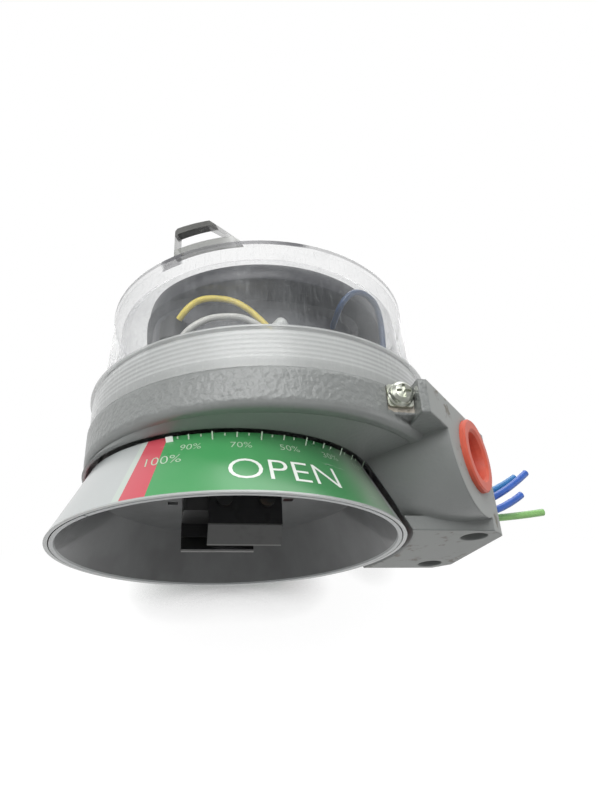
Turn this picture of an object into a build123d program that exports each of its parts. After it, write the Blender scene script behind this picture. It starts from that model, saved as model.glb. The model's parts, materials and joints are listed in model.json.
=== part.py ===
from build123d import *
import os
from math import sqrt

os.makedirs("parts", exist_ok=True)

# Frame: +Z is the shaft axis, z = 0 the mounting plane, +X towards the wiring block.

# housing bowl, centred on the cover axis
cover_x = 11.3
wall_r = 59.6
wall_z = 23.4
shoulder_z = 35.4
recess_r = wall_r - 4.4
ceiling_z = 28.6
floor_z = 32.0
neck_r = wall_r - 2.9
bowl_r = neck_r - 4.3
neck_top = 48.6
ridge_h = 0.6
ridge_pitch = 1.55
ridge_count = 7
ridge_z = 37.2
wall_fillet = 2.2
collar_r = 43.6
collar_z = 26.0
boss_r = 12.0
boss_z = (24.6, 40.0)

# wiring block
block_top = 36.0
end_x = 86.8
corner_y = 20.1
foot_y = 25.6
foot_h = 4.6
web_z = 25.2
web_in = 36.2
lug_w = 2.8
swell_r = 22.6
swell_u = 15.6
swell_z = 25.6
drum_gap = 2.0
hole_x = 77.4
hole_y = 18.6
hole_r = 4.5
hole_depth = 8.5
face_fillet = 1.2

# conduit entry and its plug
entry_u = 14.7
entry_z = 22.8
entry_r = 10.6
entry_depth = 18.0
plug_flange_r = 14.2
plug_flange_t = 1.8
plug_skirt_t = 1.6
plug_skirt_l = 9.0
plug_dish_r = 9.8
plug_dish_t = 4.2
plug_nub_r = 2.4
plug_clear = 0.15

# earth point
notch_x = (39.2, 47.8)
notch_y = wall_r - 8.1
notch_z = 27.4
earth_x = 43.5
earth_z = 32.2

# wire exit
exit_r = 7.6
exit_z = 15.2
exit_depth = 13.0
seal_inset = 6.8
lead_r = 1.35
lead_bend = 9.0
passage_r = 4.0

# cover
thread_clear = 0.4
skirt_r = wall_r - 0.6
skirt_z = shoulder_z + 0.4
skirt_in_r = neck_r + ridge_h + thread_clear
step_z = neck_top + 0.7
dome_r = (skirt_r - 2.7, skirt_r - 4.6)
dome_wall = 2.6
cover_top = step_z + 35.4
grip_h = 11.7
grip_bar = 2.6
grip_foot = (-10.5, 12.5)
grip_head = (-9.6, 2.2)
grip_sill = 2.6
top_wall = 3.0
rim_r = 1.6
flare = 0.8

# indicator drum
mouth_r = 57.3
drum_top_r = 46.5
drum_top = 21.0
shell_t = 1.2
liner_gap = 0.35
liner_t = 1.3
seam_deg = 40.0
disc_t = 1.2

# shaft stack
shaft_r = 6.0
run_fit = 0.05
bush_r = 8.0
bush_flange_r = 10.5
bush_flange_t = 1.2
spigot_r = 5.0
spigot_z = 11.0
collar_t = 1.8
end_play = 0.2
shaft_top = 47.0
groove_z = 40.4
groove_w = 1.1
groove_r = 5.2

# coupling
hub_w = 32.0
hub_d = 15.0
clip_w = 24.0
clip_shift = 3.9
clip_t = 1.0
clip_knee_z = 6.5
clip_tip_z = 1.2
clip_tip_in = 4.0
clip_screw_r = 1.5

# sensor module
module_x = (-29.0, 40.0)
module_y = (-34.0, 22.0)
module_z = (48.0, 79.0)
module_corner = 19.0
module_round = 5.0
post_r = 3.2
wire_r = 1.05


def at_z(z0, z1, sketch):
    return Pos(0, 0, z0) * extrude(sketch, z1 - z0)


def disc(r, z0, z1, x=0.0, y=0.0):
    return Pos(x, y, z0) * Cylinder(r, z1 - z0, align=(Align.CENTER, Align.CENTER, Align.MIN))


def turned(points, x=0.0):
    return Pos(x, 0, 0) * revolve(Plane.XZ * make_face(Polyline(*points, close=True)), Axis.Z)


def both_sides(shape):
    return shape + mirror(shape, Plane.XZ)


def rod(a, b, r):
    line = Vector(*b) - Vector(*a)
    return Plane(origin=a, z_dir=line) * Cylinder(r, line.length, align=(Align.CENTER, Align.CENTER, Align.MIN))


def tube(path, r):
    return sweep(Plane(path @ 0, z_dir=path % 0) * Circle(r), path)


half = sqrt(0.5)


def on_face(u, z, depth=0.0):
    """Plane on the front 45 degree face, z_dir pointing out of it."""
    p = (end_x - u * half - depth * half, -corner_y - u * half + depth * half, z)
    return Plane(origin=p, x_dir=(half, half, 0), z_dir=(half, -half, 0))


# ---------------------------------------------------------------- housing
bowl = disc(wall_r, wall_z, shoulder_z, cover_x)
bowl = fillet(bowl.edges().sort_by(Axis.Z)[0], wall_fillet)
neck_points = [(0, ceiling_z), (neck_r, ceiling_z), (neck_r, ridge_z - ridge_pitch / 2)]
for i in range(ridge_count):
    z = ridge_z + i * ridge_pitch
    neck_points += [(neck_r, z - 0.45), (neck_r + ridge_h, z - 0.1), (neck_r + ridge_h, z + 0.1), (neck_r, z + 0.45)]
neck_points += [(neck_r, neck_top), (0, neck_top)]
bowl = bowl + turned(neck_points, cover_x)
bowl = bowl - disc(recess_r, 0, ceiling_z, cover_x)

web_x = end_x - web_in
web_y = corner_y + web_in
web = at_z(web_z, block_top, make_face(Polyline(
    (20, 0), (web_x - lug_w, -46), (web_x - lug_w, -web_y), (web_x, -web_y), (end_x, -corner_y),
    (end_x, corner_y), (web_x, web_y), (web_x - lug_w, web_y), (web_x - lug_w, 46), close=True)))
web = fillet(web.edges().filter_by(Axis.Z).group_by(Axis.X)[2], 0.8)
swell = on_face(swell_u, swell_z, 48) * Cylinder(swell_r, 48, align=(Align.CENTER, Align.CENTER, Align.MIN))
swell = swell & at_z(0, block_top, Pos(end_x / 2, 0) * Rectangle(end_x, 4 * web_y))
core_u = (end_x - swell_u * half, corner_y + swell_u * half)
core = at_z(foot_h - 0.6, block_top, make_face(Polyline(
    (55, -10), (core_u[0], -core_u[1]), (end_x, -corner_y), (end_x, corner_y),
    (core_u[0], core_u[1]), (55, 10), close=True)))
foot_c = end_x - (foot_y - corner_y)
foot = at_z(0, foot_h, make_face(Polyline(
    (40, -foot_y), (foot_c, -foot_y), (end_x, -corner_y), (end_x, corner_y), (foot_c, foot_y), (40, foot_y),
    close=True)))
block = foot + core + both_sides(swell) + web
housing = bowl + block + disc(collar_r, collar_z, ceiling_z + 1)
pad = Pos((notch_x[0] + notch_x[1]) / 2, -notch_y, notch_z - 1) * Box(
    notch_x[1] - notch_x[0] + 2, 8, block_top - notch_z, align=(Align.CENTER, Align.MIN, Align.MIN))
housing = housing + both_sides(pad)
slope = (mouth_r - drum_top_r) / drum_top
sweep_r = mouth_r + drum_gap
housing = housing - turned([(0, -1), (sweep_r + slope, -1), (sweep_r - slope * (collar_z - 3), collar_z - 3),
                            (sweep_r - slope * (collar_z - 3), collar_z), (0, collar_z)])
housing = housing + disc(boss_r, boss_z[0], boss_z[1])
over = disc(wall_r + 0.4, shoulder_z, block_top + 1, cover_x) - disc(neck_r + ridge_h, shoulder_z, block_top + 1, cover_x)
housing = housing - over
cavity = disc(bowl_r, floor_z, neck_top + 1, cover_x) - disc(boss_r, 0, boss_z[1])
housing = housing - cavity
cut = Pos((notch_x[0] + notch_x[1]) / 2, -notch_y, notch_z) * Box(
    notch_x[1] - notch_x[0], 20, 20, align=(Align.CENTER, Align.MAX, Align.MIN))
housing = housing - cut
housing = housing - on_face(entry_u, entry_z, entry_depth) * Cylinder(
    entry_r, entry_depth + 1, align=(Align.CENTER, Align.CENTER, Align.MIN))
bowl_in = (cover_x + bowl_r - 6.5, floor_z + 4.5)
entry_end = tuple(on_face(entry_u, entry_z + 2, entry_depth - 2).origin)
housing = housing - rod(entry_end, (bowl_in[0], -bowl_in[0] / 4, bowl_in[1]), passage_r)
housing = housing - rod((end_x - exit_depth, 0, exit_z), (end_x + 1, 0, exit_z), exit_r)
housing = housing - rod((end_x - exit_depth - 0.5, 0, exit_z), (bowl_in[0], 0, bowl_in[1]), passage_r)
for side in (-1, 1):
    housing = housing - disc(hole_r, -1, hole_depth, hole_x, side * hole_y)
housing = housing - disc(bush_r, 0, shaft_top)
groove_r0, groove_r1 = neck_r - 2.7, neck_r - 0.7
groove = disc(groove_r1, neck_top - 1.9, neck_top + 1, cover_x) - disc(groove_r0, 0, 60, cover_x)
housing = housing - groove
earth_hole = rod((earth_x, -notch_y + 7, earth_z), (earth_x, -notch_y - 1, earth_z), 1.9)
housing = housing - earth_hole
post_spots = [(x, y) for x in (-14, 25) for y in (-24, 14)]
posts = [disc(post_r, floor_z - 0.5, module_z[0], x, y) for x, y in post_spots]
for post in posts:
    housing = housing + post

# ---------------------------------------------------------------- plug, earth point, wire exit
plug = turned([
    (0, -plug_dish_t), (plug_nub_r, -plug_dish_t), (plug_nub_r, -plug_dish_t + 1.4), (plug_nub_r - 0.6, -plug_dish_t + 2),
    (0, -plug_dish_t + 2)])
shell = turned([
    (0, -plug_dish_t - plug_skirt_t), (entry_r - plug_clear - plug_skirt_t, -plug_dish_t - plug_skirt_t),
    (entry_r - plug_clear - plug_skirt_t, -plug_skirt_l), (entry_r - plug_clear - 0.4, -plug_skirt_l),
    (entry_r - plug_clear, -plug_skirt_l + 1), (entry_r - plug_clear, 0), (plug_flange_r, 0),
    (plug_flange_r, plug_flange_t - 0.5), (plug_flange_r - 0.6, plug_flange_t), (plug_dish_r + 0.7, plug_flange_t),
    (plug_dish_r - 0.4, plug_flange_t - 0.8), (plug_dish_r - 1.6, -plug_dish_t), (0, -plug_dish_t)])
conduit_plug = on_face(entry_u, entry_z) * (shell + plug)

face_y = Plane(origin=(earth_x, -notch_y, earth_z), x_dir=(1, 0, 0), z_dir=(0, -1, 0))
clamp = extrude(RectangleRounded(7.8, 7.2, 1.0), 1.0) - Cylinder(2.1, 4)
earth_clamp = face_y * clamp
head = turned([(0, 1.0), (3.9, 1.0), (3.9, 1.6), (3.5, 2.0), (3.3, 3.3), (2.4, 4.1), (0, 4.5)])
head = head + Pos(0, 0, 1.0) * extrude(RegularPolygon(3.8, 6), 1.9)
slot = Pos(0, 0, 5) * Box(4.4, 0.9, 3.4) + Pos(0, 0, 5) * Box(0.9, 4.4, 3.4)
earth_screw = face_y * (head - slot + disc(1.9, -5, 1.2))

lead_seal = rod((end_x - exit_depth + 0.4, 0, exit_z), (end_x - seal_inset, 0, exit_z), exit_r)
lead_runs = {
    "lead_out_upper": [(2.4, 18.9), (93.5, 2.4, 18.9), (110, 1.5, 29.0)],
    "lead_out_middle": [(-1.6, 15.4), (95, -1.6, 15.4), (113.9, -0.5, 30.2)],
    "lead_out_lower": [(-3.6, 11.4), (95, -3.6, 11.4), (108.2, -3.0, 20.4)],
    "lead_out_earth": [(2.6, 12.2), (97, 2.6, 12.2), (119.5, 2.6, 15.6)],
}
leads = {}
for name, run in lead_runs.items():
    start = (end_x - seal_inset, *run[0])
    leads[name] = tube(FilletPolyline(start, *run[1:], radius=lead_bend), lead_r)

# ---------------------------------------------------------------- cover
in_r = (dome_r[0] - dome_wall, dome_r[1] - dome_wall)
top_in = cover_top - top_wall
clear_cover = turned([
    (skirt_in_r, skirt_z), (skirt_r, skirt_z), (skirt_r, step_z - 1.6), (skirt_r + flare, step_z - 0.9),
    (skirt_r + flare, step_z - 0.3), (dome_r[0] + 0.4, step_z + 0.9), (dome_r[0], step_z + 1.4),
    (dome_r[1], cover_top - rim_r - 1.2), (dome_r[1] + 0.5, cover_top - rim_r - 0.8), (dome_r[1] + 0.5, cover_top - 0.6),
    (dome_r[1] - 0.1, cover_top), (0, cover_top), (0, top_in), (in_r[1] - 3, top_in),
    (in_r[1], top_in - 3), (in_r[0], step_z), (skirt_in_r, step_z)], cover_x)


def grip(deg):
    arc_r = dome_r[1] - 1.6
    ring = disc(arc_r + 1.4, cover_top, cover_top + 20) - disc(arc_r - 1.4, 0, cover_top + 20)
    top, sill, beam = cover_top + grip_h, cover_top + grip_sill, cover_top + grip_h - grip_bar
    side = make_face(Polyline(
        (grip_foot[0], cover_top), (grip_foot[0], top - 0.8), (grip_head[0], top), (grip_head[1], top - 0.9),
        (grip_foot[1], cover_top), close=True))
    hole = make_face(Polyline(
        (grip_foot[0] + 1.2, sill), (grip_foot[0] + 1.2, beam), (grip_head[1] - 0.6, beam - 0.4),
        (grip_foot[1] - 4.1, sill), close=True))
    blank = Plane.XZ * (side - hole)
    wall = Pos(0, -arc_r + 8, 0) * extrude(blank, 16)
    return Pos(cover_x, 0, 0) * Rot(0, 0, deg) * (wall & ring)


cover_grips = grip(-28.5) + grip(151.5)
cover_seal = Pos(cover_x, 0, neck_top - 1.9 + 1.0) * Torus((groove_r0 + groove_r1) / 2, 0.95)

# ---------------------------------------------------------------- indicator drum
def cone_wall(r0, t, top, floor_t, hole):
    under = top - floor_t
    return turned([(r0, 0), (r0 - slope * top, top), (hole, top), (hole, under), (r0 - t - slope * under, under),
                   (r0 - t, 0)])


indicator_shell = cone_wall(mouth_r, shell_t, drum_top, disc_t, spigot_r)
liner_r = mouth_r - shell_t - liner_gap
liner_top = drum_top - disc_t
indicator_liner = cone_wall(liner_r, liner_t, liner_top, disc_t, spigot_r)
for x, y in ((-19, 9), (20.5, 3)):
    indicator_liner = indicator_liner - Pos(x, y, liner_top) * Box(3.4, 3.0, 4)
seam = Rot(0, 0, 180 + seam_deg) * Pos(mouth_r - 4, 0, 0) * Box(12, 0.7, 2.4)
indicator_liner = indicator_liner - seam

# ---------------------------------------------------------------- shaft stack
bush_z = boss_z[0] - bush_flange_t
drive_shaft = turned([
    (0, spigot_z), (spigot_r, spigot_z), (spigot_r, drum_top), (bush_flange_r, drum_top),
    (bush_flange_r, bush_z - end_play), (shaft_r, bush_z - end_play), (shaft_r, groove_z), (groove_r, groove_z),
    (groove_r, groove_z + groove_w), (shaft_r, groove_z + groove_w), (shaft_r, shaft_top), (0, shaft_top)])
shaft_bushing = turned([
    (shaft_r + run_fit, bush_z), (bush_flange_r, bush_z), (bush_flange_r, boss_z[0]), (bush_r, boss_z[0]),
    (bush_r, boss_z[1] - 0.5), (shaft_r + run_fit, boss_z[1] - 0.5)])
ring_gap = Pos(6, 0, groove_z) * Box(12, 4.5, 6)
retaining_ring = disc(shaft_r + 2.4, groove_z, groove_z + groove_w - 0.1) - disc(groove_r, 0, 60) - ring_gap
carrier_z = groove_z + groove_w + 0.2
magnet_carrier = disc(15, carrier_z, shaft_top - 0.6) - disc(shaft_r, 0, 60)
magnets = None
magnet_h = 2.6
for side in (-1, 1):
    spot = disc(3, shaft_top - 0.6 - magnet_h, shaft_top - 0.6, side * 10.5, 0)
    magnet_carrier = magnet_carrier - spot
    magnets = spot if magnets is None else magnets + spot

hub_z = (spigot_z, liner_top - disc_t)
coupling_hub = at_z(hub_z[0], hub_z[1], RectangleRounded(hub_w, hub_d, 1.5)) - disc(spigot_r, 0, 60)


def clip(side):
    y0 = hub_d / 2
    outline = Polyline((y0, hub_z[1]), (y0, clip_knee_z), (y0 - clip_tip_in, clip_tip_z))
    strip = Plane.YZ * make_face(Polyline(
        (y0, hub_z[1]), (y0 + clip_t, hub_z[1]), (y0 + clip_t, clip_knee_z - 0.4),
        (y0 - clip_tip_in + 0.8, clip_tip_z - 0.7), (y0 - clip_tip_in, clip_tip_z), (y0, clip_knee_z), close=True))
    body = Pos(-clip_w / 2 - clip_shift, 0, 0) * extrude(strip, clip_w)
    return body if side > 0 else Rot(0, 0, 180) * body


def clip_screw_spots(side):
    return [side * (-clip_shift + x) for x in (-7, 7)]


clips = {"clip_rear": clip(1), "clip_front": clip(-1)}
clip_screws = None
screw_z = (hub_z[0] + hub_z[1]) / 2
for side in (-1, 1):
    name = "clip_rear" if side > 0 else "clip_front"
    for x in clip_screw_spots(side):
        y0 = side * hub_d / 2
        stem = rod((x, y0 - side * 2.2, screw_z), (x, y0 + side * (clip_t + 0.2), screw_z), clip_screw_r)
        cap = rod((x, y0 + side * clip_t, screw_z), (x, y0 + side * (clip_t + 1.6), screw_z), 2.7)
        slot = Pos(x, y0 + side * (clip_t + 1.6), screw_z) * Box(6, 1.4, 0.7)
        screw = stem + (cap - slot)
        clip_screws = screw if clip_screws is None else clip_screws + screw
        clips[name] = clips[name] - stem
        coupling_hub = coupling_hub - stem

# ---------------------------------------------------------------- inside the cover
mx = (module_x[0] + module_x[1]) / 2
my = (module_y[0] + module_y[1]) / 2
mw = module_x[1] - module_x[0]
md = module_y[1] - module_y[0]
sensor_module = Pos(mx, my, 0) * at_z(module_z[0], module_z[1], RectangleRounded(mw, md, module_corner))
sensor_module = fillet(sensor_module.edges().group_by(Axis.Z)[-1], module_round)
module_screws = None
for x, y in post_spots:
    seat = disc(3.2, module_z[1] - 3, module_z[1] + 1, x, y)
    sensor_module = sensor_module - seat
    head = disc(2.9, module_z[1] - 3, module_z[1] - 0.8, x, y) - Pos(x, y, module_z[1]) * Box(7, 0.8, 3)
    module_screws = head if module_screws is None else module_screws + head

term_z = (54.0, 66.0)
terminal_block = Pos(mx, module_y[1], term_z[0]) * Box(44, 11, term_z[1] - term_z[0], align=(Align.CENTER, Align.MIN, Align.MIN))
terminal_screws = None
for i in range(8):
    x = mx - 19.25 + i * 5.5
    terminal_block = terminal_block - disc(1.9, term_z[1] - 4, term_z[1] + 1, x, module_y[1] + 4)
    terminal_block = terminal_block - rod((x, module_y[1] + 6, term_z[0] + 4), (x, module_y[1] + 12, term_z[0] + 4), 1.6)
    head = disc(1.8, term_z[1] - 4, term_z[1] - 1.2, x, module_y[1] + 4)
    head = head - Pos(x, module_y[1] + 4, term_z[1] - 1.2) * Box(4, 0.7, 1.2)
    terminal_screws = head if terminal_screws is None else terminal_screws + head

gland_x, gland_y = -22.0, -30.0
module_gland = turned([(0, 50), (4.4, 50), (4.4, 55), (3.3, 56), (3.3, 58), (4.6, 59), (4.6, 65.5), (3.0, 66.5), (3.0, 68),
                       (0, 68)])
module_gland = Pos(gland_x, gland_y, 0) * module_gland - sensor_module

wire_points = {
    "lead_yellow": [(-20.4, -35.8, 64.6), (-14.4, -38, 72.6), (0.4, -38.2, 72.2), (8.2, -36.6, 61.2)],
    "lead_white": [(-21, -35.6, 54.4), (-12, -39, 64.4), (0.6, -39.8, 64.6), (6, -39.4, 60.4)],
    "lead_blue": [(31.8, -31.9, 68.0), (33.2, -35.6, 80.2), (46.6, -35.0, 79.6), (47.4, -33, 61.5)],
}
wire_bend = {"lead_yellow": 8.0, "lead_white": 6.0, "lead_blue": 5.5}
wires = {name: tube(FilletPolyline(*pts, radius=wire_bend[name]), wire_r) for name, pts in wire_points.items()}
lead_cap = rod((9.4, -36.6, 61.4), (13.4, -36.6, 66.6), 2.3)
lead_cap = fillet(lead_cap.edges(), 1.6)
lead_cap = lead_cap - wires["lead_yellow"]

nodes = {
    "housing": housing,
    "conduit_plug": conduit_plug,
    "earth_clamp": earth_clamp,
    "earth_screw": earth_screw,
    "lead_seal": lead_seal,
    "clear_cover": clear_cover,
    "cover_grips": cover_grips,
    "cover_seal": cover_seal,
    "indicator_shell": indicator_shell,
    "indicator_liner": indicator_liner,
    "drive_shaft": drive_shaft,
    "shaft_bushing": shaft_bushing,
    "retaining_ring": retaining_ring,
    "magnet_carrier": magnet_carrier,
    "magnets": magnets,
    "coupling_hub": coupling_hub,
    "clip_screws": clip_screws,
    "sensor_module": sensor_module,
    "module_screws": module_screws,
    "terminal_block": terminal_block,
    "terminal_screws": terminal_screws,
    "module_gland": module_gland,
    "lead_cap": lead_cap,
}
nodes.update(clips)
nodes.update(leads)
nodes.update(wires)

for name, shape in nodes.items():
    export_step(shape, f"parts/{name}.step")
    box = shape.bounding_box()
    print(f"{name:18s} {shape.volume:10.1f} solids {len(shape.solids())}",
          [round(v, 1) for v in (*box.min, *box.max)])
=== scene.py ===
import json
import math
import bmesh
import bpy
from mathutils import Matrix, Vector


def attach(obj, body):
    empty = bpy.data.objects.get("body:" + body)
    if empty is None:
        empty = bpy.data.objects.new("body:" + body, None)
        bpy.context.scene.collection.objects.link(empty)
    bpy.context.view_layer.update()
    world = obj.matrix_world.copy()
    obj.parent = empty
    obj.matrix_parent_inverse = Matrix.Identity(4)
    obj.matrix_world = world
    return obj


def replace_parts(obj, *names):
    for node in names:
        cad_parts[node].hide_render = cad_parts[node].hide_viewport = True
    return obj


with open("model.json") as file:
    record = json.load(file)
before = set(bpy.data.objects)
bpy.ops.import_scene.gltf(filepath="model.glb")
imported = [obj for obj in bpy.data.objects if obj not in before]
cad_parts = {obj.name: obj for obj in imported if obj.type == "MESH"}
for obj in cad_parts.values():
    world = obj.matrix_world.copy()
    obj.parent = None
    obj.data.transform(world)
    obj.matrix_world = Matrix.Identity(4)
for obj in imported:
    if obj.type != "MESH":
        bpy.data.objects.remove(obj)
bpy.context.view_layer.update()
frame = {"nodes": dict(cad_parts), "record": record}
nodes = frame["nodes"]
print("stage: frame loaded", len(nodes), "nodes")

mm = 0.001
collection = bpy.context.scene.collection


def plainMesh(piece):
    return bpy.data.meshes.new_from_object(piece.evaluated_get(bpy.context.evaluated_depsgraph_get()))


def addPiece(name, mesh, body):
    piece = bpy.data.objects.new(name, mesh)
    collection.objects.link(piece)
    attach(piece, body)
    return piece


# camera: the box lies on its side on the table and is seen from under its mouth
camera = {
    "place": (-0.02286, -0.20191, -0.05132),
    "right": (0.9766, -0.2090, -0.0502),
    "up": (-0.0536, -0.4629, 0.8848),
    "lens": 27.94, "sensor": 36, "near": 0.01, "far": 20,
}
eye = bpy.data.cameras.new("eye")
eye.sensor_width = camera["sensor"]
eye.lens = camera["lens"]
eye.clip_start = camera["near"]
eye.clip_end = camera["far"]
eyeObject = bpy.data.objects.new("eye", eye)
collection.objects.link(eyeObject)
right = Vector(camera["right"]).normalized()
up = (Vector(camera["up"]) - right * right.dot(Vector(camera["up"]))).normalized()
back = right.cross(up)
turned = Matrix((right, up, back)).transposed().to_4x4()
eyeObject.matrix_world = Matrix.Translation(camera["place"]) @ turned
bpy.context.scene.camera = eyeObject


# node sums: a Wire is one socket, a Graph the tree that it belongs to
class Wire:
    def __init__(self, graph, socket):
        self.graph = graph
        self.socket = socket

    def math(self, operation, *others):
        return self.graph.add("ShaderNodeMath", {"operation": operation},
                              dict(enumerate((self, *others))))

    def __add__(self, other):
        return self.math("ADD", other)

    def __radd__(self, other):
        return self.math("ADD", other)

    def __sub__(self, other):
        return self.math("SUBTRACT", other)

    def __rsub__(self, other):
        return self.graph.add("ShaderNodeMath", {"operation": "SUBTRACT"}, {0: other, 1: self})

    def __mul__(self, other):
        return self.math("MULTIPLY", other)

    def __rmul__(self, other):
        return self.math("MULTIPLY", other)

    def __pow__(self, other):
        return self.math("POWER", other)

    def above(self, edge, soft=0.0):
        if not soft:
            return self.math("GREATER_THAN", edge)
        return self.graph.add("ShaderNodeMapRange", {"interpolation_type": "SMOOTHSTEP"},
                              {0: self, 1: edge - soft, 2: edge + soft, 3: 0.0, 4: 1.0})

    def below(self, edge, soft=0.0):
        return 1.0 - self.above(edge, soft)

    def between(self, low, high, soft=0.0):
        return self.above(low, soft) * self.below(high, soft)


class Graph:
    def __init__(self, tree):
        self.tree = tree

    def add(self, kind, settings=None, inputs=None, out=0):
        node = self.tree.nodes.new(kind)
        for key, value in (settings or {}).items():
            if key == "stops":
                ramp = node.color_ramp
                while len(ramp.elements) < len(value):
                    ramp.elements.new(0.5)
                for element, (place, colour) in zip(ramp.elements, value):
                    element.position = place
                    element.color = (*colour, 1.0)
            else:
                setattr(node, key, value)
        for key, value in (inputs or {}).items():
            if isinstance(value, Wire):
                self.tree.links.new(value.socket, node.inputs[key])
            else:
                node.inputs[key].default_value = value
        return Wire(self, node.outputs[out])

    def mix(self, factor, first, second):
        ends = [(*c, 1.0) if isinstance(c, tuple) and len(c) == 3 else c for c in (first, second)]
        return self.add("ShaderNodeMix", {"data_type": "RGBA"},
                        {0: factor, 6: ends[0], 7: ends[1]}, out=2)

    def noise(self, place, scale, detail=3.0, rough=0.5, warp=0.0):
        return self.add("ShaderNodeTexNoise", None, {
            "Vector": place, "Scale": scale, "Detail": detail, "Roughness": rough, "Distortion": warp})

    def axes(self, place):
        split = self.tree.nodes.new("ShaderNodeSeparateXYZ")
        self.tree.links.new(place.socket, split.inputs[0])
        return [Wire(self, socket) for socket in split.outputs]

    def stretched(self, place, scale, turn=(0.0, 0.0, 0.0), shift=(0.0, 0.0, 0.0)):
        return self.add("ShaderNodeMapping", None,
                        {"Vector": place, "Scale": scale, "Rotation": turn, "Location": shift})

    def bump(self, height, strength, distance, edge=0.0):
        inputs = {"Height": height, "Strength": strength, "Distance": distance}
        if edge:
            inputs["Normal"] = self.add("ShaderNodeBevel", {"samples": 6}, {"Radius": edge})
        return self.add("ShaderNodeBump", None, inputs)


class Finish(Graph):
    def __init__(self, name, colour, rough, metallic=0.0, coat=0.0, coatRough=0.2):
        self.material = bpy.data.materials.new(name)
        self.material.use_nodes = True
        super().__init__(self.material.node_tree)
        self.shader = self.tree.nodes["Principled BSDF"]
        self.place = self.add("ShaderNodeTexCoord", out=3)
        self.feed("Base Color", (*colour, 1.0))
        self.feed("Roughness", rough)
        self.feed("Metallic", metallic)
        self.feed("Coat Weight", coat)
        self.feed("Coat Roughness", coatRough)
        self.material.diffuse_color = (*colour, 1.0)

    def feed(self, socket, value):
        if isinstance(value, Wire):
            self.tree.links.new(value.socket, self.shader.inputs[socket])
        else:
            self.shader.inputs[socket].default_value = value
        return self


def shaded(colour, amount):
    return tuple(min(1.0, c * amount) for c in colour)


def moulded(name, colour, rough, coat=0.0, grain=1400.0, depth=0.00004, mottle=0.18):
    finish = Finish(name, colour, rough, coat=coat)
    patches = finish.noise(finish.place, 90.0, 4.0)
    fine = finish.noise(finish.place, grain, 2.0)
    finish.feed("Base Color", finish.mix(patches, shaded(colour, 1 - mottle), shaded(colour, 1 + mottle)))
    finish.feed("Roughness", rough - 0.06 + 0.12 * patches)
    finish.feed("Normal", finish.bump(fine, 0.35, depth))
    return finish


def machined(name, colour, rough, metallic=1.0, scale=(300.0, 300.0, 4000.0), stain=(0.2, 0.15, 0.1)):
    finish = Finish(name, colour, rough, metallic)
    lines = finish.noise(finish.stretched(finish.place, scale), 1.0, 2.0)
    patches = finish.noise(finish.place, 160.0, 4.0)
    dirt = patches.above(0.62, 0.08)
    base = finish.mix(lines, shaded(colour, 0.75), shaded(colour, 1.15))
    finish.feed("Base Color", finish.mix(dirt * 0.5, base, stain))
    finish.feed("Roughness", rough + 0.2 * dirt + 0.08 * lines)
    finish.feed("Normal", finish.bump(lines, 0.15, 0.00003))
    return finish


# finishes, one for each material slot
housingPaint = {
    "colour": (0.218, 0.229, 0.224), "face": (0.30, 0.312, 0.302), "metal": (0.42, 0.38, 0.32),
    "stain": (0.10, 0.08, 0.05), "peel": 620.0, "relief": 0.0005, "edge": 0.0009,
    "endPlane": 0.0868 + 0.0201,  # x - y on the angled face of the wiring block
    "skin": 0.00012, "footSkin": 0.00004, "wall": (0.0255, 0.0350),
    "notch": {"x": (0.0391, 0.0479), "y": (-0.0516, -0.0513), "floor": 0.0272},
}


def epoxyPaint():
    paint = housingPaint
    finish = Finish("epoxyPaint", paint["colour"], 0.36, coat=0.25, coatRough=0.34)
    x, y, z = finish.axes(finish.place)
    peel = finish.noise(finish.place, paint["peel"], 2.0, 0.45)
    wide = finish.noise(finish.place, 45.0, 4.0)
    spots = finish.noise(finish.place, 210.0, 3.0, 0.6)
    body = finish.mix(wide, shaded(paint["colour"], 0.88), shaded(paint["colour"], 1.12))
    angled = (x - y).above(paint["endPlane"] - paint["skin"])
    foot = z.below(paint["footSkin"])
    flat = angled.math("MAXIMUM", foot)
    stains = spots.above(0.58, 0.05) * finish.noise(finish.place, 60.0).above(0.52, 0.05)
    milled = finish.mix(wide, shaded(paint["face"], 0.9), shaded(paint["face"], 1.08))
    body = finish.mix(flat, body, milled)
    body = finish.mix(flat * stains * 0.75, body, paint["stain"])
    notch = paint["notch"]
    bare = y.between(*notch["y"]) * x.between(*notch["x"]) * z.above(notch["floor"])
    body = finish.mix(bare, body, paint["metal"])
    finish.feed("Base Color", body)
    finish.feed("Roughness", 0.26 + 0.12 * wide + 0.2 * flat)
    finish.feed("Coat Weight", 0.35 * (1.0 - flat))
    wall = z.between(*paint["wall"], 0.0008) * (1.0 - flat)
    relief = peel * (0.25 + 1.4 * wall) * (1.0 - 0.8 * flat) + 0.4 * wide
    finish.feed("Normal", finish.bump(relief, 0.8, paint["relief"], paint["edge"]))
    return finish


printLook = {
    "pale": (0.46, 0.485, 0.48), "strip": (0.50, 0.56, 0.51), "red": (0.56, 0.075, 0.10),
    "green": (0.040, 0.305, 0.085), "greenFar": (0.035, 0.20, 0.065), "worn": (0.27, 0.37, 0.27),
    "edge": (0.40, 0.42, 0.41), "scuff": (0.75, 0.77, 0.75), "edgeHeight": 0.0006,
    # degrees round the skirt, from +X, of one half of the print
    "stripTurn": (51.4, 53.8), "redTurn": (53.8, 61.5), "greenTurn": (61.5, 141.0),
    "closedTurn": (18.0, 162.0), "darkGreenTurn": (98.0, 16.0), "paleTurn": (125.0, 9.0),
}


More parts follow.
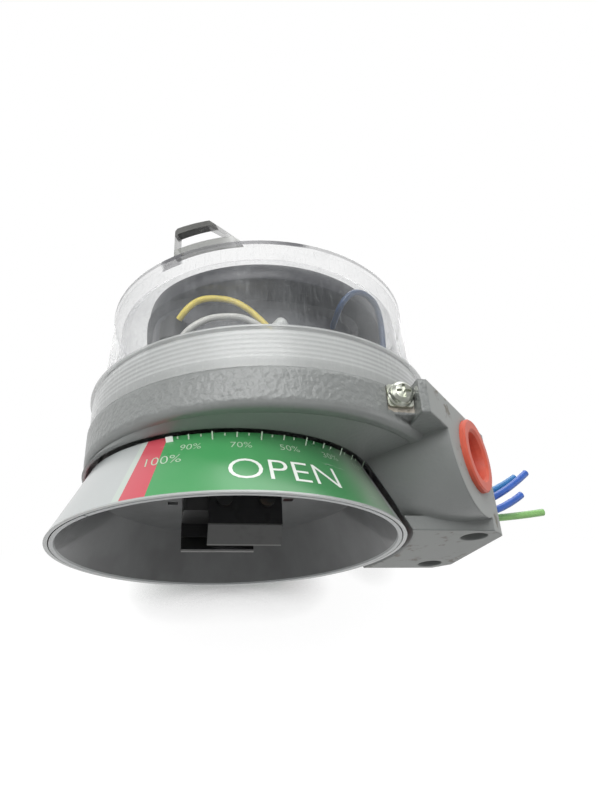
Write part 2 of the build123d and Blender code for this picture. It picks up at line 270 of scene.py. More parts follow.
def skirtPrint():
    look = printLook
    finish = Finish("skirtPrint", look["green"], 0.22, coat=0.6)
    x, y, z = finish.axes(finish.place)
    turn = y.math("ARCTAN2", x) * (180.0 / math.pi)
    fold = (turn + 540.0).math("MODULO", 180.0)  # the print repeats on the far side
    smudge = finish.noise(finish.place, 70.0, 4.0)
    # past this turn round the skirt the green is darker
    green = finish.mix(fold.above(*look["darkGreenTurn"]) * 0.75, look["green"], look["greenFar"])
    green = finish.mix(smudge * 0.2, green, look["worn"])
    # past this turn round the skirt the green goes pale
    green = finish.mix(fold.above(*look["paleTurn"]) * 0.9, green, look["worn"])
    ink = finish.mix(smudge, shaded(look["pale"], 0.93), shaded(look["pale"], 1.05))
    ink = finish.mix(fold.between(*look["stripTurn"]), ink, look["strip"])
    ink = finish.mix(fold.between(*look["redTurn"]), ink, look["red"])
    ink = finish.mix(fold.between(*look["greenTurn"]), ink, green)
    closedEnd, closedStart = look["closedTurn"]
    closed = fold.above(closedStart).math("MAXIMUM", fold.below(closedEnd))
    ink = finish.mix(closed, ink, look["red"])
    ink = finish.mix(z.below(look["edgeHeight"]), ink, look["edge"])
    streaks = finish.noise(finish.stretched(finish.place, (60.0, 60.0, 900.0)), 1.0, 3.0)
    ink = finish.mix(streaks.above(0.72, 0.03) * 0.25, ink, look["scuff"])
    finish.feed("Base Color", ink)
    finish.feed("Roughness", 0.2 + 0.25 * smudge)
    finish.feed("Normal", finish.bump(smudge, 0.15, 0.0002))
    return finish


linerLook = {"grey": (0.125, 0.130, 0.130), "stain": (0.06, 0.06, 0.06), "edge": (0.40, 0.42, 0.42)}


def linerPlastic():
    grey = linerLook["grey"]
    finish = Finish("linerPlastic", grey, 0.3, coat=0.5, coatRough=0.12)
    height = finish.axes(finish.place)[2]
    streaks = finish.noise(finish.stretched(finish.place, (120.0, 120.0, 8.0)), 1.0, 4.0)
    patches = finish.noise(finish.place, 55.0, 4.0)
    look = finish.mix(streaks, shaded(grey, 0.75), shaded(grey, 1.25))
    look = finish.mix(patches.above(0.58, 0.12) * 0.35, look, linerLook["stain"])
    look = finish.mix(height.below(printLook["edgeHeight"]), look, linerLook["edge"])
    finish.feed("Base Color", look)
    finish.feed("Roughness", 0.3 + 0.2 * patches)
    finish.feed("Normal", finish.bump(streaks, 0.12, 0.0002))
    return finish


coverLook = {
    # dark: the colour painted as shade at grazing edges, on the rim bead and at the grips
    "tint": (0.47, 0.49, 0.50), "dark": (0.10, 0.10, 0.11), "axis": 0.0113, "rimIn": 0.0530,
    # painted shade in the valleys and painted highlight on the crests of the threads seen through the skirt
    "valleyShade": (0.64, 0.66, 0.65), "crestLight": (0.82, 0.84, 0.83), "side": (0.30, 0.31, 0.31),
    "skirtTop": 0.0500, "ridgeLow": 0.0388, "ridgePitch": 0.00155, "seam": (0.0497, 0.0503),
    "bead": (0.0828, 0.0842),
    # painted shade next to a grip: the height each starts at, its turn in degrees and its soft edge
    "shadeSpots": ((0.0826, (-106.0, -84.0), 3.0), (0.0800, (-134.0, -126.0), 0.8)),
    # how much each adds to what the plastic hides
    "clear": 0.045, "haze": 0.10, "scuff": 0.06, "hairline": 0.16, "specks": 0.05, "edge": 0.55,
    "skirt": 0.36, "ridge": 0.10, "beadHides": 0.35, "shadeHides": 0.6, "most": 0.95,
}


def coverWear(finish):
    look = coverLook
    wide = finish.noise(finish.place, 32.0, 5.0, 0.62)
    rubbed = finish.stretched(finish.place, (900.0, 900.0, 90.0), (0.3, 0.2, 0.0))
    scratched = finish.stretched(finish.place, (420.0, 420.0, 12.0), (0.7, 0.4, 0.2))
    scuff = finish.noise(rubbed, 1.0, 4.0, 0.7)
    hairline = finish.noise(scratched, 1.0, 1.0).between(0.498, 0.501)
    haze = wide.above(0.54, 0.14) * look["haze"] + scuff.above(0.6, 0.1) * look["scuff"]
    return haze + hairline * look["hairline"]


def clearMoulding():
    look = coverLook
    finish = Finish("clearMoulding", look["tint"], 0.12, coat=1.0, coatRough=0.32)
    x, y, z = finish.axes(finish.place)
    across = x - look["axis"]
    turn = y.math("ARCTAN2", across) * (180.0 / math.pi)
    haze = coverWear(finish)
    specks = finish.noise(finish.place, 700.0, 3.0, 0.6).above(0.66, 0.03)
    # painted shade: the plastic gets darker and hides more where its surface turns away from the eye
    facing = finish.add("ShaderNodeLayerWeight", None, {"Blend": 0.6}, out=1)
    edge = facing ** 4.0
    skirt = z.below(look["skirtTop"])
    # painted shade and highlight: the threads under the skirt drawn as light crests and dark valleys
    wave = (z * (2 * math.pi / look["ridgePitch"])).math("SINE") * 0.5 + 0.5
    ridge = wave * z.above(look["ridgeLow"], 0.0006)
    # painted shade: a dark band along the rim, where the thick rim bends the light
    bead = z.between(*look["bead"], 0.0002)
    seam = z.between(*look["seam"])
    outer = ((across ** 2.0 + y ** 2.0) ** 0.5).above(look["rimIn"])
    # painted shade spots at the grips, on the rim's outside only; the seam line at the skirt's top is darker
    # too
    first, second = [z.above(low) * turn.between(*turns, soft) for low, turns, soft in look["shadeSpots"]]
    shade = (first + second) * outer + 0.5 * seam
    # painted shade: dark colour at grazing angles
    colour = finish.mix(edge * 0.8, look["tint"], look["dark"])
    band = finish.mix(ridge, look["valleyShade"], look["crestLight"])
    # painted shade: the skirt's band goes darker where it turns away from the eye
    band = finish.mix((facing ** 2.0) * 0.8, band, look["side"])
    colour = finish.mix(skirt, colour, band)
    # painted shade: dark colour on the rim bead and at the grip spots
    colour = finish.mix(bead.math("MAXIMUM", shade), colour, look["dark"])
    alpha = look["clear"] + haze * (1.0 - skirt) + specks * look["specks"] + edge * look["edge"]
    alpha = alpha + skirt * (look["skirt"] + look["ridge"] * ridge)
    alpha = alpha + bead * look["beadHides"] + shade * look["shadeHides"]
    finish.feed("Base Color", colour)
    finish.feed("Alpha", alpha.math("MINIMUM", look["most"]))
    finish.feed("Roughness", 0.26 + haze * 0.5)
    return finish


gripLook = {"smoke": (0.075, 0.075, 0.07), "pale": (0.34, 0.35, 0.33), "beam": 0.0934,
            "sill": (0.0848, 0.0874), "clear": 0.36, "beamHides": 0.56, "sillHides": 0.34}


def gripMoulding():
    look = gripLook
    finish = Finish("gripMoulding", look["smoke"], 0.18, coat=0.8, coatRough=0.08)
    height = finish.axes(finish.place)[2]
    cloud = finish.noise(finish.place, 200.0)
    beam = height.above(look["beam"], 0.0003)
    sill = height.between(*look["sill"], 0.0004)
    colour = finish.mix(sill * 0.8, look["smoke"], look["pale"])
    finish.feed("Base Color", finish.mix(cloud * 0.3, colour, look["pale"]))
    finish.feed("Alpha", look["clear"] + look["beamHides"] * beam + look["sillHides"] * sill)
    return finish


resinLook = {"black": (0.020, 0.021, 0.030), "cloud": (0.045, 0.045, 0.055), "dust": (0.2, 0.2, 0.2)}


def potting():
    black = resinLook["black"]
    finish = Finish("pottingResin", black, 0.42, coat=0.15)
    cloud = finish.noise(finish.place, 38.0, 5.0, 0.6)
    dust = finish.noise(finish.place, 900.0, 2.0).above(0.68, 0.05)
    look = finish.mix(cloud, shaded(black, 0.6), resinLook["cloud"])
    finish.feed("Base Color", finish.mix(dust * 0.3, look, resinLook["dust"]))
    finish.feed("Roughness", 0.34 + 0.25 * cloud)
    finish.feed("Normal", finish.bump(cloud, 0.3, 0.0006))
    return finish


def insulation(name, colour):
    finish = Finish(name, colour, 0.34, coat=0.3)
    cloud = finish.noise(finish.place, 320.0, 3.0)
    finish.feed("Base Color", finish.mix(cloud, shaded(colour, 0.75), shaded(colour, 1.2)))
    finish.feed("Roughness", 0.28 + 0.2 * cloud)
    finish.feed("Normal", finish.bump(cloud, 0.2, 0.00006))
    return finish


capLook = {
    # deep: the red painted darker as shade in the well
    "red": (0.60, 0.070, 0.034), "pale": (0.66, 0.125, 0.070), "deep": (0.50, 0.035, 0.014),
    "grime": (0.42, 0.10, 0.06), "well": (0.0062, 0.0010),  # how far under the block's face the well runs
}


def dullRed():
    look = capLook
    finish = Finish("capPlastic", look["red"], 0.46, coat=0.08)
    x, y = finish.axes(finish.place)[:2]
    cloud = finish.noise(finish.place, 240.0, 3.0)
    deepest, shallowest = look["well"]
    well = (x - y).between(housingPaint["endPlane"] - deepest, housingPaint["endPlane"] - shallowest)
    colour = finish.mix(cloud, shaded(look["red"], 0.86), look["pale"])
    # painted shade: the red goes darker where the cap sits down in the well under the block's face
    colour = finish.mix(well * 0.3, colour, look["deep"])
    grime = finish.noise(finish.place, 520.0, 4.0).above(0.66, 0.05)
    finish.feed("Base Color", finish.mix(grime * 0.35, colour, look["grime"]))
    finish.feed("Roughness", 0.4 + 0.2 * cloud)
    finish.feed("Normal", finish.bump(cloud, 0.2, 0.0001))
    return finish


clipLook = {
    "steel": (0.085, 0.085, 0.088), "stain": (0.05, 0.05, 0.05), "flange": (0.15, 0.152, 0.15),
    # the pale grey is a painted highlight on the lip and the bend
    "glint": (0.34, 0.34, 0.33), "flangeTop": 0.0064, "lipTop": 0.0008, "bend": (0.0062, 0.0065),
}


def clipSteel():
    look = clipLook
    finish = machined("springSteel", look["steel"], 0.34, scale=(30.0, 4000.0, 4000.0), stain=look["stain"])
    height = finish.axes(finish.place)[2]
    worn = Wire(finish, finish.shader.inputs["Base Color"].links[0].from_socket)
    colour = finish.mix(height.below(look["flangeTop"]), worn, look["flange"])
    # painted highlight: bright lines along the lower lip and the bend
    glint = height.below(look["lipTop"]).math("MAXIMUM", height.between(*look["bend"]))
    finish.feed("Base Color", finish.mix(glint * 0.8, colour, look["glint"]))
    return finish


finishes = {
    "epoxy_grey": epoxyPaint(),
    "plug_red": dullRed(),
    "zinc": machined("zincPlate", (0.60, 0.62, 0.55), 0.26, stain=(0.25, 0.30, 0.16)),
    "potting": moulded("sealResin", (0.03, 0.03, 0.034), 0.5),
    "clear_poly": clearMoulding(),
    "smoke_poly": gripMoulding(),
    "seal_rubber": moulded("sealRubber", (0.022, 0.022, 0.022), 0.55, depth=0.00008),
    "print_green": skirtPrint(),
    "liner_grey": linerPlastic(),
    "shaft_steel": machined("shaftSteel", (0.44, 0.44, 0.45), 0.3),
    "bronze": machined("bushBronze", (0.55, 0.36, 0.15), 0.4),
    "spring_steel": clipSteel(),
    "carrier_black": moulded("carrierPlastic", (0.04, 0.04, 0.04), 0.45),
    "magnet_metal": machined("magnetNickel", (0.62, 0.62, 0.62), 0.2),
    "module_black": potting(),
    "terminal_green": moulded("terminalPlastic", (0.05, 0.20, 0.10), 0.42),
    "lead_blue": insulation("leadBlue", (0.030, 0.115, 0.47)),
    "lead_light_blue": insulation("leadLightBlue", (0.030, 0.20, 0.48)),
    "lead_green": insulation("leadGreen", (0.26, 0.52, 0.17)),
    "lead_yellow": insulation("leadYellow", (0.80, 0.64, 0.07)),
    "lead_white": insulation("leadWhite", (0.66, 0.66, 0.62)),
    "cap_white": moulded("capMoulding", (0.66, 0.68, 0.66), 0.35, coat=0.2),
}
for part in frame["record"]["subparts"]:
    mesh = nodes[part["node"]].data
    mesh.materials.clear()
    mesh.materials.append(finishes[part["material_slot"]].material)
nodes["clip_screws"].data.materials.clear()
nodes["clip_screws"].data.materials.append(machined("blackScrew", (0.10, 0.10, 0.10), 0.4).material)
print("stage: finishes", len(finishes))

# outer leads: soft lines on the same route as the solids
leadRadius = 1.35
leadRoutes = {
    "lead_out_upper": ("lead_light_blue", [(80.0, 2.4, 18.9), (93.5, 2.4, 18.9), (110.0, 1.5, 29.0)]),
    "lead_out_middle": ("lead_blue", [(80.0, -1.6, 15.4), (95.0, -1.6, 15.4), (113.9, -0.5, 30.2)]),
    "lead_out_lower": ("lead_blue", [(80.0, -3.6, 11.4), (95.0, -3.6, 11.4), (108.2, -3.0, 20.4)]),
    "lead_out_earth": ("lead_green", [(80.0, 2.6, 12.2), (97.0, 2.6, 12.2), (119.5, 2.6, 15.6)]),
}


def softLine(name, points, radius):
    curve = bpy.data.curves.new(name, "CURVE")
    curve.dimensions = "3D"
    curve.bevel_depth = 1.0  # times each point's own radius, which also sets the box round the curve
    curve.bevel_resolution = 6
    curve.resolution_u = 24
    curve.use_fill_caps = True
    spline = curve.splines.new("NURBS")
    spline.points.add(len(points) - 1)
    for point, place in zip(spline.points, points):
        point.co = (*(v * mm for v in place), 1.0)
        point.radius = radius * mm
    spline.order_u = 3
    spline.use_endpoint_u = True
    piece = bpy.data.objects.new(name, curve)
    collection.objects.link(piece)
    return piece


def lineLength(piece):
    bevel = piece.data.bevel_depth
    piece.data.bevel_depth = 0
    line = plainMesh(piece)
    piece.data.bevel_depth = bevel
    places = [v.co for v in line.vertices]
    total = sum((places[e.vertices[0]] - places[e.vertices[1]]).length for e in line.edges)
    bpy.data.meshes.remove(line)
    return total


for name, (slotName, route) in leadRoutes.items():
    lead = softLine(name.replace("lead_out_", "cutLead."), route, leadRadius)
    lead.data.materials.append(finishes[slotName].material)
    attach(lead, "base")
    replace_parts(lead, name)
    tuple(v * mm for v in route[0])
    lineLength(lead)
print("stage: leads")

# conduit plug: the solid's own form, narrower and set a little along the block's face
plugSizes = {"centre": (86.8, -20.1, 22.8), "along": 14.7, "shift": 1.5, "draw": 0.86}
plugOut = Vector((1, -1, 0)).normalized()
plugAlong = Vector((-1, -1, 0)).normalized()
plugCentre = Vector(plugSizes["centre"]) * mm + plugAlong * plugSizes["along"] * mm
plugMesh = nodes["conduit_plug"].data.copy()
for v in plugMesh.vertices:
    offset = v.co - plugCentre
    deep = plugOut * offset.dot(plugOut)
    v.co = plugCentre + plugAlong * plugSizes["shift"] * mm + deep + (offset - deep) * plugSizes["draw"]
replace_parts(addPiece("entryPlug", plugMesh, "base"), "conduit_plug")
print("stage: plug")


# lofted pieces: rings of equal count, joined in turn
def lofted(name, rings, slotName, body, capped):
    count = len(rings[0])
    points = [tuple(v * mm for v in point) for ring in rings for point in ring]
    faces = []
    for level in range(len(rings) - (1 if capped else 0)):
        low, high = level * count, (level + 1) % len(rings) * count
        steps = [(i, (i + 1) % count) for i in range(count)]
        faces += [(low + i, low + j, high + j, high + i) for i, j in steps]
    if capped:
        faces += [tuple(range(count))[::-1], tuple(range(len(points) - count, len(points)))]
    mesh = bpy.data.meshes.new(name)
    mesh.from_pydata(points, [], faces)
    shape = bmesh.new()
    shape.from_mesh(mesh)
    bmesh.ops.recalc_face_normals(shape, faces=shape.faces)
    shape.to_mesh(mesh)
    shape.free()
    mesh.shade_smooth()
    mesh.set_sharp_from_angle(angle=math.radians(32))
    mesh.materials.append(finishes[slotName].material)
    return addPiece(name, mesh, body)


def turnsOf(count):
    return [2 * math.pi * i / count for i in range(count)]


# sensing module: a rounded block under a round lid that has one flat side and a shallow well
moduleSizes = {
    "count": 144, "axis": 11.3, "foot": 48.0, "footEdge": 1.0, "flare": 2.0,
    "body": {"x": 7.2, "y": -6.0, "halfX": 36.4, "halfY": 28.0, "power": 3.4},
    "lidFlat": 42.8, "lidRadius": 47.6, "lidPower": 14, "lidUnder": 74.8, "lidTop": 81.3, "edge": 1.2,
    "wellFloor": 77.4, "wellIn": 7.0, "wellSlope": 0.6, "wellCorner": 1.6,
}


def bodyOutline(z, inset=0.0):
    body = moduleSizes["body"]
    ring = []
    for t in turnsOf(moduleSizes["count"]):
        c, s = math.cos(t), math.sin(t)
        alongX = math.copysign(abs(c) ** (2 / body["power"]), c)
        alongY = math.copysign(abs(s) ** (2 / body["power"]), s)
        ring.append((body["x"] + alongX * (body["halfX"] - inset),
                     body["y"] + alongY * (body["halfY"] - inset), z))
    return ring


def lidOutline(z, inset=0.0):
    power = moduleSizes["lidPower"]
    ring = []
    for t in turnsOf(moduleSizes["count"]):
        flat = (moduleSizes["lidFlat"] - inset) / max(1e-3, -math.cos(t))
        radius = ((moduleSizes["lidRadius"] - inset) ** -power + flat ** -power) ** (-1 / power)
        ring.append((moduleSizes["axis"] + radius * math.cos(t), radius * math.sin(t), z))
    return ring


def moduleRings():
    sizes = moduleSizes
    foot, footEdge, flare = sizes["foot"], sizes["footEdge"], sizes["flare"]
    top, under, edge = sizes["lidTop"], sizes["lidUnder"], sizes["edge"]
    well, floor = sizes["wellIn"], sizes["wellFloor"]
    block = [bodyOutline(foot, footEdge), bodyOutline(foot + footEdge), bodyOutline(under - flare),
             bodyOutline(under, -flare)]
    rim = [lidOutline(under, edge), lidOutline(under + edge * 0.4, edge * 0.3), lidOutline(under + edge),
           lidOutline(top - edge), lidOutline(top - edge * 0.3, edge * 0.3), lidOutline(top, edge)]
    hollow = [lidOutline(top, well), lidOutline(floor + edge, well + sizes["wellSlope"]),
              lidOutline(floor, well + sizes["wellCorner"])]
    return block + rim + hollow


moduleBody = lofted("moduleBody", moduleRings(), "module_black", "base", capped=True)
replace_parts(moduleBody, "sensor_module")

# underside of the bowl: slopes from the wall, round the bowl's axis, to a lip round the shaft's
underSizes = {"count": 180, "axis": 11.3, "outer": (57.6, 24.0), "inner": (47.1, 21.8), "top": 27.6,
              "lip": ((1.5, 0.35), (0.9, 0.0), (0.3, 0.0), (0.0, 0.3))}


def circle(x, radius, z):
    return [(x + radius * math.cos(t), radius * math.sin(t), z) for t in turnsOf(underSizes["count"])]


def underRings():
    sizes = underSizes
    wideRadius, wideZ = sizes["outer"]
    narrowRadius, narrowZ = sizes["inner"]
    slope = [circle(sizes["axis"], wideRadius, sizes["top"]), circle(sizes["axis"], wideRadius, wideZ)]
    lip = [circle(0.0, narrowRadius + out, narrowZ + rise) for out, rise in sizes["lip"]]
    return slope + lip + [circle(0.0, narrowRadius, sizes["top"])]


lofted("underBowl", underRings(), "epoxy_grey", "base", capped=False)
print("stage: module and bowl underside")

# wires inside the cover: springy arcs that stay clear of the wall
wireRadius = 1.05
# a darker copy of the blue insulation: painted shade for the blue wire inside the cover
shadedBlue = insulation("shadedInnerBlue", (0.022, 0.060, 0.150))
innerWires = {
    "lead_yellow": (finishes["lead_yellow"], [
        (-20.6, -35.6, 64.6), (-18.6, -38.0, 67.2), (-14.4, -38.4, 71.2), (-9.2, -38.4, 72.2),
        (-3.6, -38.4, 71.8), (1.2, -38.4, 69.0), (5.0, -37.8, 65.8), (9.0, -37.0, 62.0)]),
    "lead_white": (finishes["lead_white"], [
        (-21.0, -35.6, 54.4), (-19.0, -39.6, 57.2), (-13.0, -40.5, 61.9), (-8.0, -40.5, 63.6),
        (-2.0, -40.5, 64.2), (2.8, -39.8, 63.0), (7.6, -38.4, 60.6)]),
    "lead_blue": (shadedBlue, [
        (31.2, -32.4, 68.8), (31.0, -39.6, 69.6), (32.4, -43.4, 72.2), (36.4, -43.9, 76.0),
        (42.2, -40.2, 77.6), (46.3, -36.8, 76.2), (48.4, -34.0, 72.4), (48.8, -32.8, 66.0),
        (48.4, -32.4, 57.0)]),
}
for name, (finish, route) in innerWires.items():
    line = softLine("line", route, wireRadius)
    mesh = plainMesh(line)
    bpy.data.objects.remove(line)
    mesh.materials.clear()
    mesh.materials.append(finish.material)
    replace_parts(addPiece(name.replace("lead_", "wire."), mesh, "base"), name)
print("stage: inner wires")

# print on the skirt
skirt = {
    "mouthRadius": 57.3, "slope": 10.8 / 21.0, "lift": 0.05, "tickLift": 0.07,
    "tenPercent": 8.0, "full": -118.4,  # degrees: one step of the scale, and where it reads 100
    "tickTop": 20.4, "tickWidth": 0.42, "longTick": 4.4, "shortTick": 2.7, "minorTick": 1.2,
    "fullMark": {"count": 6, "start": 0.3, "step": 0.42, "tall": 2.9},
}
# each word's middle in degrees, its lower and upper edge and the degrees it spreads over
lettering = {
    "OPEN": (-80.4, 4.3, 11.1, 33.6), "CLOSED": (-180.0, 5.0, 10.4, 30.0), "100%": (-117.1, 11.0, 13.8, 11.6),
    "steps": (90, 70, 50, 30, 10), "stepWord": (15.2, 17.2, 6.8), "stepAside": 1.2, "fullLean": -0.5,
    "weight": -0.010, "longestEdge": 0.12,
}


def onSkirt(degrees, height, lift):
    radius = skirt["mouthRadius"] - skirt["slope"] * height + lift
    turn = math.radians(degrees)
    return Vector((radius * math.cos(turn), radius * math.sin(turn), height)) * mm


def skirtWord(text, centre, low, high, spread, lean=0.0):
    curve = bpy.data.curves.new("word", "FONT")
    curve.body = text
    curve.align_x = "CENTER"
    curve.size = 1.0
    curve.offset = lettering["weight"]
    curve.resolution_u = 4
    holder = bpy.data.objects.new("word", curve)
    collection.objects.link(holder)
    flat = plainMesh(holder)
    bpy.data.objects.remove(holder)
    shape = bmesh.new()
    shape.from_mesh(flat)
    bpy.data.meshes.remove(flat)
    bmesh.ops.triangulate(shape, faces=shape.faces)
    for _ in range(3):
        longEdges = [e for e in shape.edges if e.calc_length() > lettering["longestEdge"]]
        bmesh.ops.subdivide_edges(shape, edges=longEdges, cuts=1)
        bmesh.ops.triangulate(shape, faces=[f for f in shape.faces if len(f.verts) > 3])
    xs = [v.co.x for v in shape.verts]
    ys = [v.co.y for v in shape.verts]
    wide, tall = max(xs) - min(xs), max(ys) - min(ys)
    midX, lowY = (max(xs) + min(xs)) / 2, min(ys)
    for v in shape.verts:
        along = (v.co.x - midX) / wide
        rise = (v.co.y - lowY) / tall
        degrees = centre + along * spread + lean * (rise - 0.5)
        v.co = onSkirt(degrees, low + rise * (high - low), skirt["lift"])
    return shape


def addMesh(name, shapes, material, body):
    mesh = bpy.data.meshes.new(name)
    joined = bmesh.new()
    for shape in shapes:
        part = bpy.data.meshes.new("part")
        shape.to_mesh(part)
        joined.from_mesh(part)
        bpy.data.meshes.remove(part)
        shape.free()
    joined.to_mesh(mesh)
    joined.free()
    mesh.materials.append(material)
    addPiece(name, mesh, body)


words = []
smallWords = []
for half in (0.0, 180.0):
    for text in ("OPEN", "CLOSED"):
        middle, *span = lettering[text]
        words.append(skirtWord(text, middle + half, *span))
    for percent in lettering["steps"]:
        degrees = skirt["full"] + (100 - percent) / 10 * skirt["tenPercent"] + lettering["stepAside"]
        smallWords.append(skirtWord(f"{percent}%", degrees + half, *lettering["stepWord"]))
    middle, *span = lettering["100%"]
    smallWords.append(skirtWord("100%", middle + half, *span, lean=lettering["fullLean"]))
whiteInk = moulded("whiteInk", (0.80, 0.84, 0.79), 0.35, coat=0.4, depth=0.00001, mottle=0.05)
paleInk = moulded("paleInk", (0.46, 0.60, 0.45), 0.35, coat=0.4, depth=0.00001, mottle=0.1)
addMesh("skirtLettering", words, whiteInk.material, "rotor")
addMesh("skirtSmallLettering", smallWords, paleInk.material, "rotor")


def tickGroup():
    group = bpy.data.node_groups.new("skirtTicks", "GeometryNodeTree")
    sockets = {"Count": "NodeSocketInt", "First": "NodeSocketFloat", "Step": "NodeSocketFloat",
               "Top": "NodeSocketFloat", "Tall": "NodeSocketFloat", "Ink": "NodeSocketMaterial"}
    group.interface.new_socket("Geometry", in_out="OUTPUT", socket_type="NodeSocketGeometry")
    for name, kind in sockets.items():
        group.interface.new_socket(name, in_out="INPUT", socket_type=kind)
    tree = Graph(group)
    source = group.nodes.new("NodeGroupInput")
    given = {name: Wire(tree, source.outputs[name]) for name in sockets}
    slant = math.atan(1 / skirt["slope"])
    row = tree.add("GeometryNodeMeshLine", None, {"Count": given["Count"], "Offset": (0, 0, 0)})
    degrees = tree.add("GeometryNodeInputIndex").math("MULTIPLY_ADD", given["Step"], given["First"])
    spin = tree.add("ShaderNodeCombineXYZ", None, {2: degrees.math("RADIANS")})
    strip = tree.add("GeometryNodeMeshGrid", None, {
        "Size X": 1.0, "Size Y": skirt["tickWidth"] * mm, "Vertices X": 2, "Vertices Y": 2})
    size = tree.add("ShaderNodeCombineXYZ", None, {0: given["Tall"], 1: 1.0, 2: 1.0})
    tilted = tree.add("GeometryNodeTransform", None, {
        "Geometry": strip, "Scale": size, "Rotation": (0, math.pi - slant, 0)})
    # the strip's middle sits on the cone half a tick under its top
    middle = given["Tall"].math("MULTIPLY_ADD", -0.5 * math.sin(slant), given["Top"])
    mouth = (skirt["mouthRadius"] + skirt["tickLift"]) * mm
    radius = middle.math("MULTIPLY_ADD", -skirt["slope"], mouth)
    where = tree.add("ShaderNodeCombineXYZ", None, {0: radius, 2: middle})
    moved = tree.add("GeometryNodeTransform", None, {"Geometry": tilted, "Translation": where})
    spread = tree.add("GeometryNodeInstanceOnPoints", None, {
        "Points": row, "Instance": moved, "Rotation": spin})
    real = tree.add("GeometryNodeRealizeInstances", None, {0: spread})
    inked = tree.add("GeometryNodeSetMaterial", None, {"Geometry": real, "Material": given["Ink"]})
    group.links.new(inked.socket, group.nodes.new("NodeGroupOutput").inputs[0])
    return group


def ticks(name, group, values):
    holder = bpy.data.objects.new(name, bpy.data.meshes.new(name))
    collection.objects.link(holder)
    modifier = holder.modifiers.new("ticks", "NODES")
    modifier.node_group = group
    for item in group.interface.items_tree:
        if item.in_out == "INPUT":
            modifier[item.identifier] = values[item.name]
    mesh = plainMesh(holder)
    holder.modifiers.remove(modifier)
    holder.data = mesh
    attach(holder, "rotor")


scaleTicks = tickGroup()
ten, mark = skirt["tenPercent"], skirt["fullMark"]
for half, side in ((0.0, "front"), (180.0, "rear")):
    first = skirt["full"] + half
    rows = (
        ("longTicks", 5, first + 2 * ten, 2 * ten, skirt["longTick"], paleInk),
        ("shortTicks", 5, first + ten, 2 * ten, skirt["shortTick"], paleInk),
        ("minorTicks", 10, first + 0.5 * ten, ten, skirt["minorTick"], paleInk),
        ("fullMark", mark["count"], first + mark["start"], mark["step"], mark["tall"], whiteInk),
    )
    for name, count, start, step, tall, ink in rows:
        ticks(f"{name}.{side}", scaleTicks, {
            "Count": count, "First": start, "Step": step, "Top": skirt["tickTop"] * mm, "Tall": tall * mm,
            "Ink": ink.material})
print("stage: print on the skirt")

# stage: a floor under the foot, and the table that the box lies on, each seen from its own side only
stageSizes = {"reach": 3.0, "tableLean": (0.10, 1.0, -0.12), "floorDrop": 0.0006, "pale": 0.22, "glow": 0.90,
              # how far the painted contact shadow reaches, and how hard it falls off
              "contactShadow": 0.015, "contactShadowPower": 2.5, "shadeTop": 0.006, "shadeFade": 0.010}


def paleSheet(name):
    sheet = bpy.data.materials.new(name)
    sheet.use_nodes = True
    graph = Graph(sheet.node_tree)
    sheet.node_tree.nodes.clear()
    ray = sheet.node_tree.nodes.new("ShaderNodeLightPath")
    behind = graph.add("ShaderNodeNewGeometry", out=6)
    seen = Wire(graph, ray.outputs["Is Camera Ray"]) * (1.0 - behind)
    height = graph.axes(graph.add("ShaderNodeTexCoord", out=3))[2]
    low = height.below(stageSizes["shadeTop"], stageSizes["shadeFade"])  # no shade stands behind the part
    pale = stageSizes["pale"] * low
    white = graph.add("ShaderNodeBsdfDiffuse", None, {
        "Color": graph.add("ShaderNodeCombineColor", None, {0: pale, 1: pale, 2: pale})})
    clear = graph.add("ShaderNodeBsdfTransparent")
    # painted contact shadow: ambient occlusion dims the sheet's glow near the part
    near = graph.add("ShaderNodeAmbientOcclusion", {"samples": 8}, {"Distance": stageSizes["contactShadow"]}, out=1)
    strength = 1.0 - low * (1.0 - stageSizes["glow"] * near ** stageSizes["contactShadowPower"])
    glow = graph.add("ShaderNodeEmission", None, {"Color": (1.0, 1.0, 1.0, 1.0), "Strength": strength})
    both = graph.add("ShaderNodeAddShader", None, {0: white, 1: glow})
    shown = graph.add("ShaderNodeMixShader", None, {0: seen, 1: clear, 2: both})
    out = sheet.node_tree.nodes.new("ShaderNodeOutputMaterial")
    sheet.node_tree.links.new(shown.socket, out.inputs["Surface"])
    return sheet


def stageSheet(name, normal, distance):
    normal = Vector(normal).normalized()
    turn = normal.to_track_quat("Z", "Y").to_matrix()
    half = stageSizes["reach"]
    square = ((-half, -half, 0), (half, -half, 0), (half, half, 0), (-half, half, 0))
    corners = [turn @ Vector(corner) + normal * distance for corner in square]
    mesh = bpy.data.meshes.new(name)
    mesh.from_pydata(corners, [], [(0, 1, 2, 3)])
    mesh.materials.append(paleSheet(name))
    sheet = bpy.data.objects.new(name, mesh)
    collection.objects.link(sheet)
    sheet.visible_shadow = False


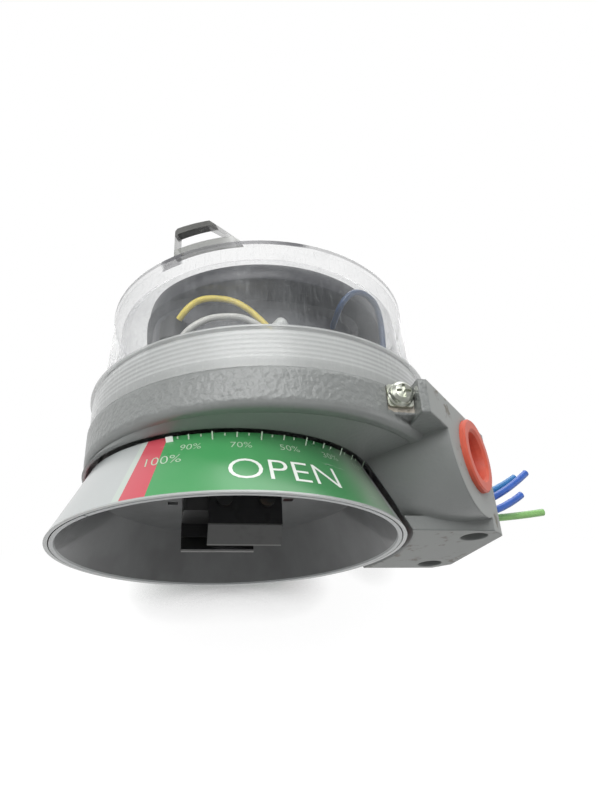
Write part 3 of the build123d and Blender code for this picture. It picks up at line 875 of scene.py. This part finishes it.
leanOut = Vector(stageSizes["tableLean"]).normalized()
touch = max(leanOut.dot(v.co) for part in nodes.values() for v in part.data.vertices)
stageSheet("floor", (0, 0, 1), -stageSizes["floorDrop"])
stageSheet("table", -leanOut, -touch)

# each lamp's place, what it points at, its width and its power
lamps = {
    "overTable": ((-0.20, -0.78, 0.42), (0.0, 0.0, 0.03), 0.75, 5.6),
    "overhead": ((0.25, -0.1, 1.2), (0.0, 0.0, 0.0), 1.0, 6.0),
    "leftFront": ((-0.8, -0.6, 0.30), (0.06, 0.0, 0.02), 0.6, 1.5),
    "farSide": ((0.3, 0.9, 0.5), (0.0, 0.0, 0.03), 0.8, 4.0),
    "besideBlock": ((0.9, -0.35, -0.1), (0.05, 0.0, 0.03), 0.6, 0.9),
}
for name, (place, aim, size, power) in lamps.items():
    lamp = bpy.data.lights.new(name, "AREA")
    lamp.shape = "DISK"
    lamp.size = size
    lamp.energy = power
    holder = bpy.data.objects.new(name, lamp)
    holder.location = place
    holder.rotation_euler = (Vector(place) - Vector(aim)).to_track_quat("Z", "Y").to_euler()
    collection.objects.link(holder)

# the room: white where it is seen direct, brighter on the table's side in reflections
roomLight = {"reflected": 0.42, "tableSide": 0.5, "soft": 0.35, "plain": 0.48}
world = bpy.data.worlds.new("room")
bpy.context.scene.world = world
world.use_nodes = True
room = Graph(world.node_tree)
world.node_tree.nodes.clear()
ray = world.node_tree.nodes.new("ShaderNodeLightPath")
direct = Wire(room, ray.outputs["Is Camera Ray"]).math(
    "MAXIMUM", Wire(room, ray.outputs["Is Transmission Ray"]))
gloss = Wire(room, ray.outputs["Is Glossy Ray"])
tableSide = room.axes(room.add("ShaderNodeTexCoord", out=0))[1].above(0.0, roomLight["soft"])
reflected = roomLight["reflected"] + roomLight["tableSide"] * tableSide
level = direct + (1.0 - direct) * (gloss * reflected + (1.0 - gloss) * roomLight["plain"])
shine = room.add("ShaderNodeBackground", None, {"Color": (1.0, 1.0, 1.0, 1.0), "Strength": level})
out = world.node_tree.nodes.new("ShaderNodeOutputWorld")
world.node_tree.links.new(shine.socket, out.inputs["Surface"])
bpy.context.scene.view_settings.view_transform = "Standard"
print("stage: stage and lamps")
